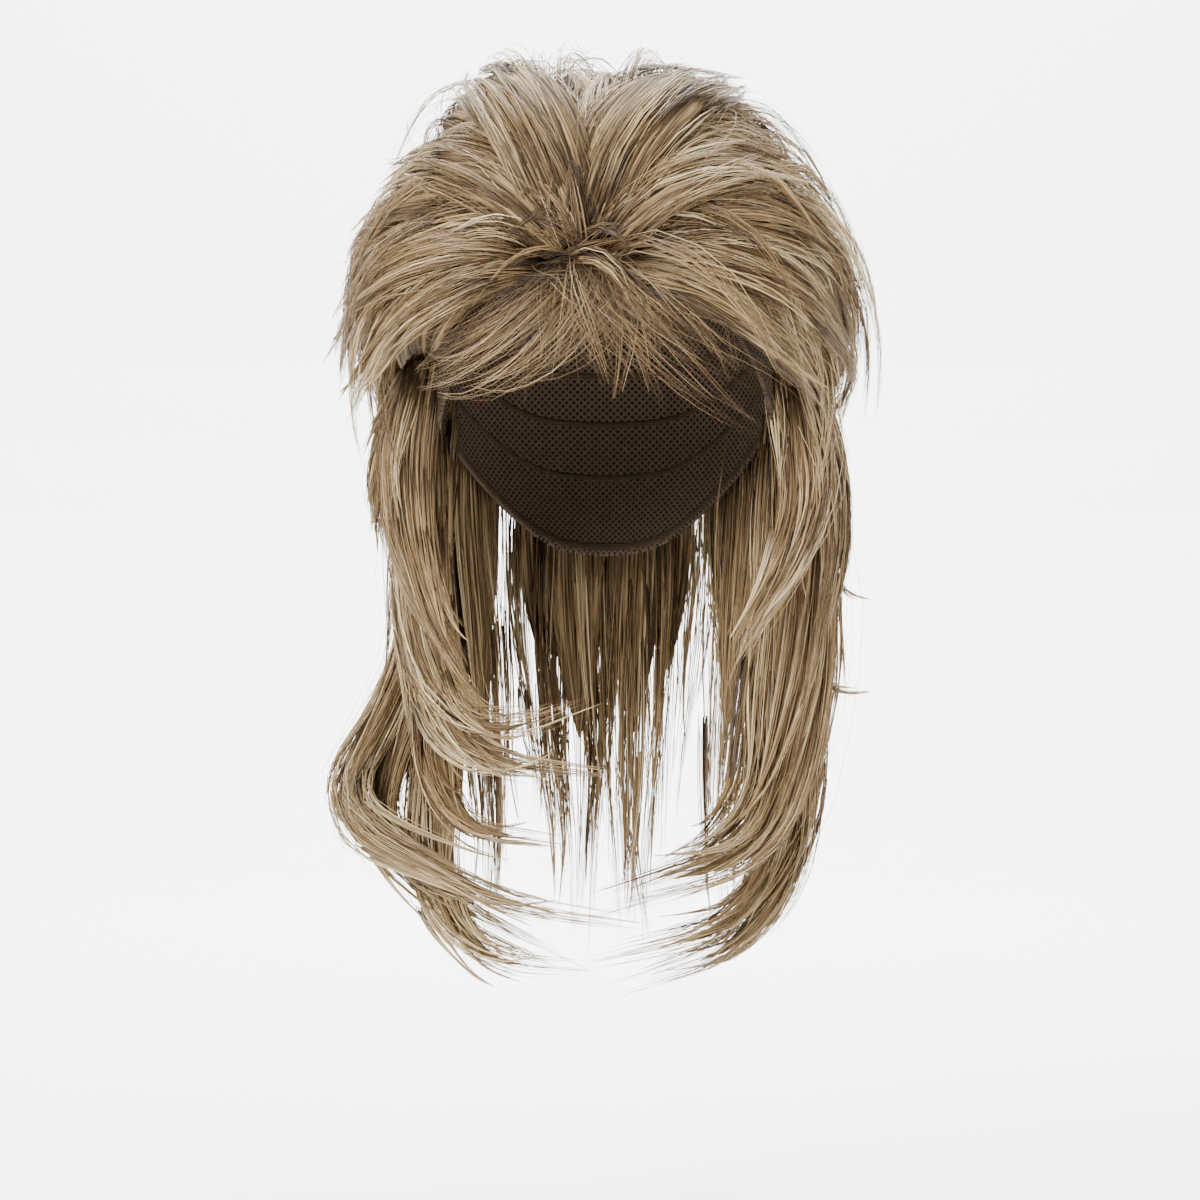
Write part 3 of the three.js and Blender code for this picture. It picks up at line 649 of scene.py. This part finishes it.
crown_core = core_mesh("crown_core", combed_rows + fallen_rows, hair_core_painted_shade)
crown_mass = dome_shell(
    "crown_mass", CROWN_EDGE, lambda turn, up: CROWN_GAP, mass_lift, hair_core_painted_shade, lie_fanned,
)
back_rows = combed_rows[10:] + fallen_rows
crown_front = haired(
    "crown_front_strands", combed_rows[:10], under=44, small=12, each=16, rings=6, reach=(0.4, 0.85),
)
crown_back = haired("crown_back_strands", back_rows, under=40, small=9, each=16, rings=6, reach=(0.4, 0.85))


def crown_curl(fan, high):
    """A thin airy curl that stands off the top of the crown."""
    start = rng.uniform(30, 50)
    row = {"fan": fan, "bend": rng.uniform(-16, 16), "sweep": (start, start + rng.uniform(26, 40))}
    lift = (1, high, high * rng.uniform(0.9, 1.05))
    return combed_lock({**row, "lift": lift, "width": rng.uniform(0.2, 0.34), "thick": 0.4,
                        "curl": rng.uniform(-2, 2), "tone": rng.normal(0.55, 0.1)}, loose_whorl())


tufts = [strand_paths(crown_tuft(place), 18, 6, loose=0.12, gathered=0.66) for place in range(TUFTS)]
tufts += [strand_paths(lock, 10, 9, loose=1, size=FINE_STRAND) for lock in combed_rows]
crown_tufts = strand_mesh("crown_tufts", tufts, hair_strand)
curls = [crown_curl(rng.uniform(102, 126), rng.uniform(1.45, 1.7)) for _ in range(CURLS)]
curls += [crown_curl(rng.uniform(56, 80), rng.uniform(1.35, 1.55)) for _ in range(CURLS)]
sizes = rng.choice([FINE_STRAND, STRAND], len(curls))
curls = [
    strand_paths(curl, 15, 8, loose=0.2, size=size, gathered=0.5) for curl, size in zip(curls, sizes)
]
crown_curls = strand_mesh("crown_curls", curls, hair_strand)
dress("crown_hair", crown_core, crown_mass, crown_front, crown_back, crown_tufts, crown_curls)

# The side wings
# Feathered hair brushed out and back from the whorl over each ear, and flicked away from the head at
# its tips. The locks root beside the whorl and lie over the edge of the crown.
WING_LEFT = [
    {"fan": 18, "bend": 0, "sweep": (10, 96), "lift": (0.08, 0.86, 0.78), "width": 0.76, "thick": 0.8},
    {"fan": 0, "bend": 4, "sweep": (10, 88), "lift": (0.08, 0.74, 0.72), "width": 0.72, "thick": 0.75},
    {"fan": -16, "bend": 4, "sweep": (10, 76), "lift": (0.08, 0.58, 0.66), "width": 0.56, "thick": 0.65},
]
WING_RIGHT = [
    {"fan": 162, "bend": 0, "sweep": (10, 94), "lift": (0.08, 0.98, 0.94), "width": 0.76, "thick": 0.8},
    {"fan": 180, "bend": -2, "sweep": (10, 86), "lift": (0.08, 0.9, 0.94), "width": 0.72, "thick": 0.75},
    {"fan": 198, "bend": -4, "sweep": (10, 74), "lift": (0.08, 0.74, 0.92), "width": 0.6, "thick": 0.65},
]
WING_FLICK = {"left": 3 * MM, "right": 9 * MM}
for side, rows in (("left", WING_LEFT), ("right", WING_RIGHT)):
    wing = [combed_lock(row) for row in rows]
    core = core_mesh(f"wing_core_{side}", wing, hair_core_painted_shade, end=0.82)
    hair = haired(
        f"wing_strands_{side}", wing, under=70, small=20, each=16, rings=7, flick=WING_FLICK[side],
        width=(0.1, 0.2),
    )
    dress(f"side_wing_{side}", core, hair)

# The fringe
# A thin, see-through fringe of fine strands that falls from the whorl and parts to both sides. It has no
# core, so that its gaps stay open. Short tufts and a low bridge of hair cover the whorl itself, darkened as
# painted shade.
FRINGE = [
    {"fan": 218, "bend": -20, "sweep": (4, 60), "lift": (0.08, 0.54, 0.44), "width": 0.44, "thick": 0.4,
     "swirl": 18},
    {"fan": 238, "bend": -34, "sweep": (3, 50), "lift": (0.08, 0.48, 0.34), "width": 0.44, "thick": 0.35,
     "swirl": 26},
    {"fan": 258, "bend": -34, "sweep": (3, 42), "lift": (0.08, 0.42, 0.3), "width": 0.4, "thick": 0.35,
     "swirl": 26},
    {"fan": 276, "bend": -10, "sweep": (3, 36), "lift": (0.08, 0.4, 0.28), "width": 0.36, "thick": 0.3},
    {"fan": 293, "bend": 4, "sweep": (3, 40), "lift": (0.08, 0.42, 0.3), "width": 0.36, "thick": 0.35},
    {"fan": 308, "bend": 10, "sweep": (3, 49), "lift": (0.08, 0.48, 0.36), "width": 0.4, "thick": 0.35,
     "swirl": -8},
    {"fan": 323, "bend": 14, "sweep": (4, 60), "lift": (0.08, 0.54, 0.42), "width": 0.44, "thick": 0.4,
     "swirl": -8},
]
FRINGE_BUNDLES = 7  # strayed from each row
WHORL_TUFTS = 50
# Painted shade: the bridge's low tone darkens the hollow under the whorl.
WHORL_BRIDGE = {  # hair that crosses under the whorl from side to side
    "fan": 0, "sweep": (-24, 24), "lift": (0.04, 0.2, 0.04), "width": 0.8, "thick": 0.3, "tone": 0.2,
}


# Painted shade: the whorl tufts take a low tone, darker than the hair round them, for the shade in the
# whorl.
def whorl_tuft(fan):
    """A short tuft that starts close to the whorl and runs out over the roots of the locks round it."""
    high = 0.5 + 0.45 * math.sin(math.radians(fan))
    sweep = rng.uniform(0, 9)
    row = {"fan": fan, "bend": rng.uniform(-40, 40), "sweep": (sweep, sweep + rng.uniform(12, 30))}
    lift = (rng.uniform(0.02, 0.12), high * rng.uniform(0.75, 1), high * rng.uniform(0.9, 1.2))
    return combed_lock({**row, "lift": lift, "width": rng.uniform(0.12, 0.24), "thick": 0.3,
                        "tone": rng.normal(0.17, 0.07)}, loose_whorl())


bundles = [strand_paths(whorl_tuft(fan), 14, 6) for fan in rng.uniform(-20, 200, WHORL_TUFTS)]
for row in FRINGE:
    for _ in range(FRINGE_BUNDLES):
        strayed = {**row, "fan": row["fan"] + rng.uniform(-10, 10), "tone": rng.normal(0.38, 0.1),
                   "swirl": row.get("swirl", 0) * rng.uniform(0.7, 1.4), "curl": rng.uniform(-0.4, 0.4)}
        lock = combed_lock(strayed, loose_whorl())
        strands = strand_paths(
            lock, 11, 9, loose=0.2, stray=(0.5, 1.02), size=FINE_STRAND, gathered=0.5,
        )
        bundles.append(strands)
crossing_lock = combed_lock(WHORL_BRIDGE)
bundles.append(strand_paths(crossing_lock, 70, 7, loose=0.1, size=FINE_STRAND, gathered=0.3))
bridge = core_mesh("whorl_bridge", [crossing_lock], hair_core_painted_shade, end=1)
dress("fringe", bridge, strand_mesh("fringe_strands", bundles, hair_strand))

# The hair beside the face and over the shoulders
# Long locks that hang straight beside the cheeks and neck, then swing forward and turn up at their tips.
# One lock on the wearer's right is thrown out over the shoulder, and two wisps stand off on the left.
NAPE_LEVEL = 100 * MM
TAIL_DROP = 345 * MM
TEMPLE_LEFT = [
    {"side": (1.0, 1.1, 1.12, 1.02, 0.86, 0.74), "back": (-0.3, -0.3, -0.3, -0.32, -0.38, -0.42),
     "hang": (-0.1, 0.04, 0.16, 0.26, 0.35, 0.42), "width": 0.56, "thick": 0.55, "facing": (0.5, 0.9)},
    {"side": (1.04, 1.22, 1.28, 1.29, 1.22), "back": (-0.14, -0.12, -0.1, -0.08, -0.06),
     "hang": (-0.12, 0.02, 0.14, 0.26, 0.38), "width": 0.68, "thick": 0.7, "facing": (0.1, 0.3)},
]
TEMPLE_RIGHT = [
    {"side": (-1.0, -1.1, -1.1, -1.02, -0.9, -0.78), "back": (-0.3, -0.32, -0.34, -0.38, -0.42, -0.44),
     "hang": (-0.1, 0.06, 0.18, 0.3, 0.4, 0.46), "width": 0.56, "thick": 0.6, "facing": (0.5, 0.9)},
    {"side": (-1.04, -1.22, -1.27, -1.24), "back": (-0.14, -0.12, -0.1, -0.08),
     "hang": (-0.12, 0.02, 0.13, 0.25), "width": 0.64, "thick": 0.6, "facing": (0.1, 0.2)},
]
TAIL_LEFT = [
    {"side": (1.04, 1.13, 1.16, 1.1, 0.84, 0.14), "back": (0.1, 0.06, 0.02, -0.06, -0.36, -0.72),
     "hang": (-0.06, 0.14, 0.32, 0.53, 0.76, 0.84), "width": 0.72, "thick": 0.85, "facing": (0.2, 0.9)},
    {"side": (1.02, 1.13, 1.18, 1.11, 1.04, 0.7, 0.08), "back": (0.34, 0.32, 0.27, 0.2, 0, -0.42, -0.72),
     "hang": (-0.04, 0.16, 0.33, 0.57, 0.73, 0.9, 0.95), "width": 0.72, "thick": 0.8, "facing": (0.2, 0.9)},
    {"side": (1.02, 1.0, 0.96, 0.9, 0.84, 0.6, 0.32), "back": (0.0, -0.04, -0.08, -0.12, -0.2, -0.42, -0.62),
     "hang": (-0.04, 0.16, 0.36, 0.54, 0.66, 0.76, 0.8), "width": 0.6, "thick": 0.7, "facing": (0.7, 0.95)},
    {"side": (0.98, 1.06, 1.06, 1.0, 0.7, 0.28), "back": (0.2, 0.16, 0.08, -0.1, -0.46, -0.7),
     "hang": (0.04, 0.3, 0.55, 0.8, 0.94, 0.985), "width": 0.64, "thick": 0.7, "facing": (0.5, 0.9)},
]
TAIL_RIGHT = [
    {"side": (-1.03, -1.1, -1.11, -1.06, -1.02, -0.98), "back": (0.14, 0.12, 0.08, 0.04, 0.04, 0.02),
     "hang": (-0.06, 0.16, 0.34, 0.5, 0.64, 0.78), "width": 0.8, "thick": 0.8, "facing": (0.1, 0.6)},
    {"side": (-1.02, -1.04, -1.02, -0.9, -0.6, -0.23), "back": (0, -0.04, -0.1, -0.26, -0.46, -0.58),
     "hang": (-0.04, 0.2, 0.38, 0.5, 0.555, 0.52), "width": 0.56, "thick": 0.6, "facing": (0.6, 0.95)},
    {"side": (-1.0, -0.98, -0.88, -0.62, -0.21), "back": (0.02, -0.06, -0.24, -0.43, -0.57),
     "hang": (0.2, 0.42, 0.54, 0.61, 0.63), "width": 0.52, "thick": 0.55, "facing": (0.7, 0.95)},
    {"side": (-1.0, -1.0, -0.96, -0.74, -0.37), "back": (0.08, 0.02, -0.16, -0.4, -0.54),
     "hang": (0.3, 0.5, 0.64, 0.73, 0.75), "width": 0.44, "thick": 0.5, "facing": (0.7, 0.95)},
    {"side": (-0.98, -0.96, -0.98, -0.86, -0.6, -0.3), "back": (0.12, 0.1, -0.04, -0.34, -0.53, -0.62),
     "hang": (0.4, 0.6, 0.775, 0.9, 0.965, 0.975), "width": 0.6, "thick": 0.65, "facing": (0.6, 0.95)},
]
SHOULDER_RIGHT = [
    {"side": (-0.9, -1.06, -1.16, -1.34, -1.46, -1.36, -0.96, -0.51, 0.02),
     "back": (0.5, 0.42, 0.32, 0.16, 0.02, -0.14, -0.33, -0.5, -0.62),
     "hang": (-0.04, 0.28, 0.48, 0.59, 0.675, 0.74, 0.81, 0.865, 0.89), "width": 0.56, "thick": 0.65,
     "facing": (0.2, 0.9)},
    {"side": (-0.88, -1.0, -1.08, -1.2, -1.28, -1.12, -0.8, -0.42),
     "back": (0.44, 0.36, 0.26, 0.14, 0.04, -0.14, -0.36, -0.5),
     "hang": (0.0, 0.28, 0.48, 0.6, 0.7, 0.8, 0.88, 0.94), "width": 0.6, "thick": 0.6, "facing": (0.3, 0.9)},
]
WISPS_LEFT = [
    {"side": (1.2, 1.28, 1.37, 1.5), "back": (0.1, 0.06, 0, -0.06), "hang": (0.14, 0.26, 0.315, 0.33),
     "width": 0.2, "thick": 0.2},
    {"side": (1.14, 1.2, 1.3, 1.52), "back": (0.1, 0.06, 0, -0.06), "hang": (0.32, 0.44, 0.485, 0.49),
     "width": 0.2, "thick": 0.2},
]


def hanging_lock(row):
    """A lock through points given as shares of the head's half width and length and of the fall."""
    side, back, hang = (np.array(row[key]) for key in ("side", "back", "hang"))
    level = -(NAPE_LEVEL + hang * (TAIL_DROP - NAPE_LEVEL))
    return {**row, "route": np.stack([side * HALF_WIDTH, HEAD_BACK + back * HALF_LENGTH, level], -1)}


for node, rows, under, small, rings, flick in (
    ("temple_lock_left", TEMPLE_LEFT, 70, 18, 7, 2 * MM),
    ("temple_lock_right", TEMPLE_RIGHT, 70, 18, 7, 6 * MM),
    ("tail_left", TAIL_LEFT, 80, 20, 9, 7 * MM),
    ("tail_right", TAIL_RIGHT, 60, 15, 9, 7 * MM),
    ("shoulder_lock_right", SHOULDER_RIGHT, 70, 18, 10, 8 * MM),
):
    hanging = [hanging_lock(row) for row in rows]
    core = core_mesh(node + "_core", hanging, hair_core_painted_shade, end=0.92)
    hair = haired(
        node + "_strands", hanging, under, small, each=16, rings=rings, stray=(0.96, 1.1),
        width=(0.08, 0.2), flick=flick,
    )
    dress(node, core, hair)
wisps = [
    strand_paths(hanging_lock(row), 44, 9, loose=0.1, stray=(0.8, 1.02), gathered=0.7) for row in WISPS_LEFT
]
dress("tail_left", strand_mesh("wisps_left", wisps, hair_strand))

# The hair behind the neck
# Three long curtains down the back, each of shorter top locks with under locks behind their joins.
BACK_DEPTH = 30 * MM
BACK_UNDER = {"hang": (-0.04, 0.2, 0.46, 0.74, 0.97), "lift": (0.2, 0.16, -0.1, -0.34, -0.2), "width": 1.3,
              "thick": 0.6}
BACK_TOP = {"hang": (-0.1, 0.2, 0.5, 0.8), "lift": (0.32, 0.42, 0.24, 0), "width": 1.25, "thick": 0.65}
BACK_CURTAINS = {
    "back_hair_left": (122, 141),
    "back_hair_middle": (161, 180, 199),
    "back_hair_right": (219, 238),
}


def back_lock(turn, layer, spacing):
    """A lock of a layer that hangs straight down behind the neck, wide enough to meet its neighbours."""
    hang, lift = np.array(layer["hang"]), CAP_WALL + np.array(layer["lift"]) * BACK_DEPTH
    x, y = math.sin(math.radians(turn)), -math.cos(math.radians(turn))
    level = -(NAPE_LEVEL + hang * (TAIL_DROP - NAPE_LEVEL))
    route = np.stack([(HALF_WIDTH + lift) * x, HEAD_BACK + (HALF_LENGTH + lift) * y, level], -1)
    width = layer["width"] * math.radians(spacing) * HALF_LENGTH / LOCK_WIDTH
    return {"route": route, "width": width, "thick": layer["thick"]}


for node, turns in BACK_CURTAINS.items():
    spacing = turns[1] - turns[0]
    curtain = [back_lock(turn, BACK_TOP, spacing) for turn in turns]
    curtain += [back_lock(turn - spacing / 2, BACK_UNDER, spacing) for turn in turns[1:]]
    core = core_mesh(node + "_core", curtain, hair_core_painted_shade, fill=0.64, end=0.62)
    hair = haired(node + "_strands", curtain, under=60, small=11, each=16, rings=8, outer=0.6)
    dress(node, core, hair)

# The studio
# A pale sweep of paper under and behind the wig, soft lights from the front and above, and a level camera.
FLOOR_LEVEL = -0.46
PHOTO_WIDTH = 0.528  # how much the picture takes in at the wig, from side to side
PHOTO_CENTRE = (-0.0026, -0.020, -0.180)
CAMERA_AWAY = 2.4
FILM_WIDTH = 36  # millimetres, as the lens is
BACKDROP_MIDDLE = (0, 3.2, 0)
PAPER = {"front": -3.0, "wall": 3.2, "half_width": 3.0, "height": 3.0, "bend": 0.6, "thick": 0.02}
fold = PAPER["wall"] - PAPER["bend"]
turn = np.radians(np.linspace(0, 90, 13))
profile = [(PAPER["front"], 0)]
profile += [(fold + PAPER["bend"] * math.sin(a), PAPER["bend"] * (1 - math.cos(a))) for a in turn]
profile += [(PAPER["wall"], PAPER["height"]), (PAPER["wall"] + PAPER["thick"], PAPER["height"])]
profile += [(PAPER["wall"] + PAPER["thick"], -PAPER["thick"]), (PAPER["front"], -PAPER["thick"])]
sides = (-PAPER["half_width"], PAPER["half_width"])
sweep = np.array([[(x, y, FLOOR_LEVEL + z) for y, z in profile] for x in sides])
count = len(profile)
k = np.arange(count)
skin = np.stack([k, (k + 1) % count, count + (k + 1) % count, count + k], -1)
paper, tree, shader = new_material("studio_paper", 0.9)
grain = add_node(tree, "ShaderNodeTexNoise", Scale=900, Detail=2)
colour = add_ramp(tree, grain.outputs["Fac"], [(0.3, "#FAF9F8"), (0.7, "#FDFCFB")])
tree.links.new(colour, shader.inputs["Base Color"])
floor = mesh_piece("studio_sweep", sweep, [skin, k[None, ::-1], count + k[None]], paper)
floor.data.polygons.foreach_set("use_smooth", np.zeros(len(floor.data.polygons), bool))

for name, place, size, power in (
    ("key", (-1.2, -1.7, 0.9), 1.0, 134),
    ("fill", (1.3, -1.6, 0.3), 1.6, 22),
    ("top", (0.0, 0.3, 1.3), 1.0, 64),
    ("backdrop", (0.0, 1.9, 2.3), 2.0, 420),
):
    bpy.ops.object.light_add(type="AREA", location=place)
    light = bpy.context.object
    light.name = name
    light.data.size = size
    light.data.energy = power
    aim = np.array(BACKDROP_MIDDLE if name == "backdrop" else PHOTO_CENTRE) - np.array(place)
    light.rotation_euler = (
        math.atan2(math.hypot(aim[0], aim[1]), -aim[2]), 0, math.atan2(aim[0], -aim[1]) + math.pi,
    )
world = bpy.data.worlds.new("studio")
bpy.context.scene.world = world
world.use_nodes = True
world.node_tree.nodes["Background"].inputs["Color"].default_value = linear("#FFFFFF")
world.node_tree.nodes["Background"].inputs["Strength"].default_value = 0.8

bpy.ops.object.camera_add(
    location=(PHOTO_CENTRE[0], PHOTO_CENTRE[1] - CAMERA_AWAY, PHOTO_CENTRE[2]), rotation=(math.pi / 2, 0, 0),
)
camera = bpy.context.object
camera.data.sensor_width = FILM_WIDTH
camera.data.lens = FILM_WIDTH * CAMERA_AWAY / PHOTO_WIDTH
bpy.context.scene.camera = camera
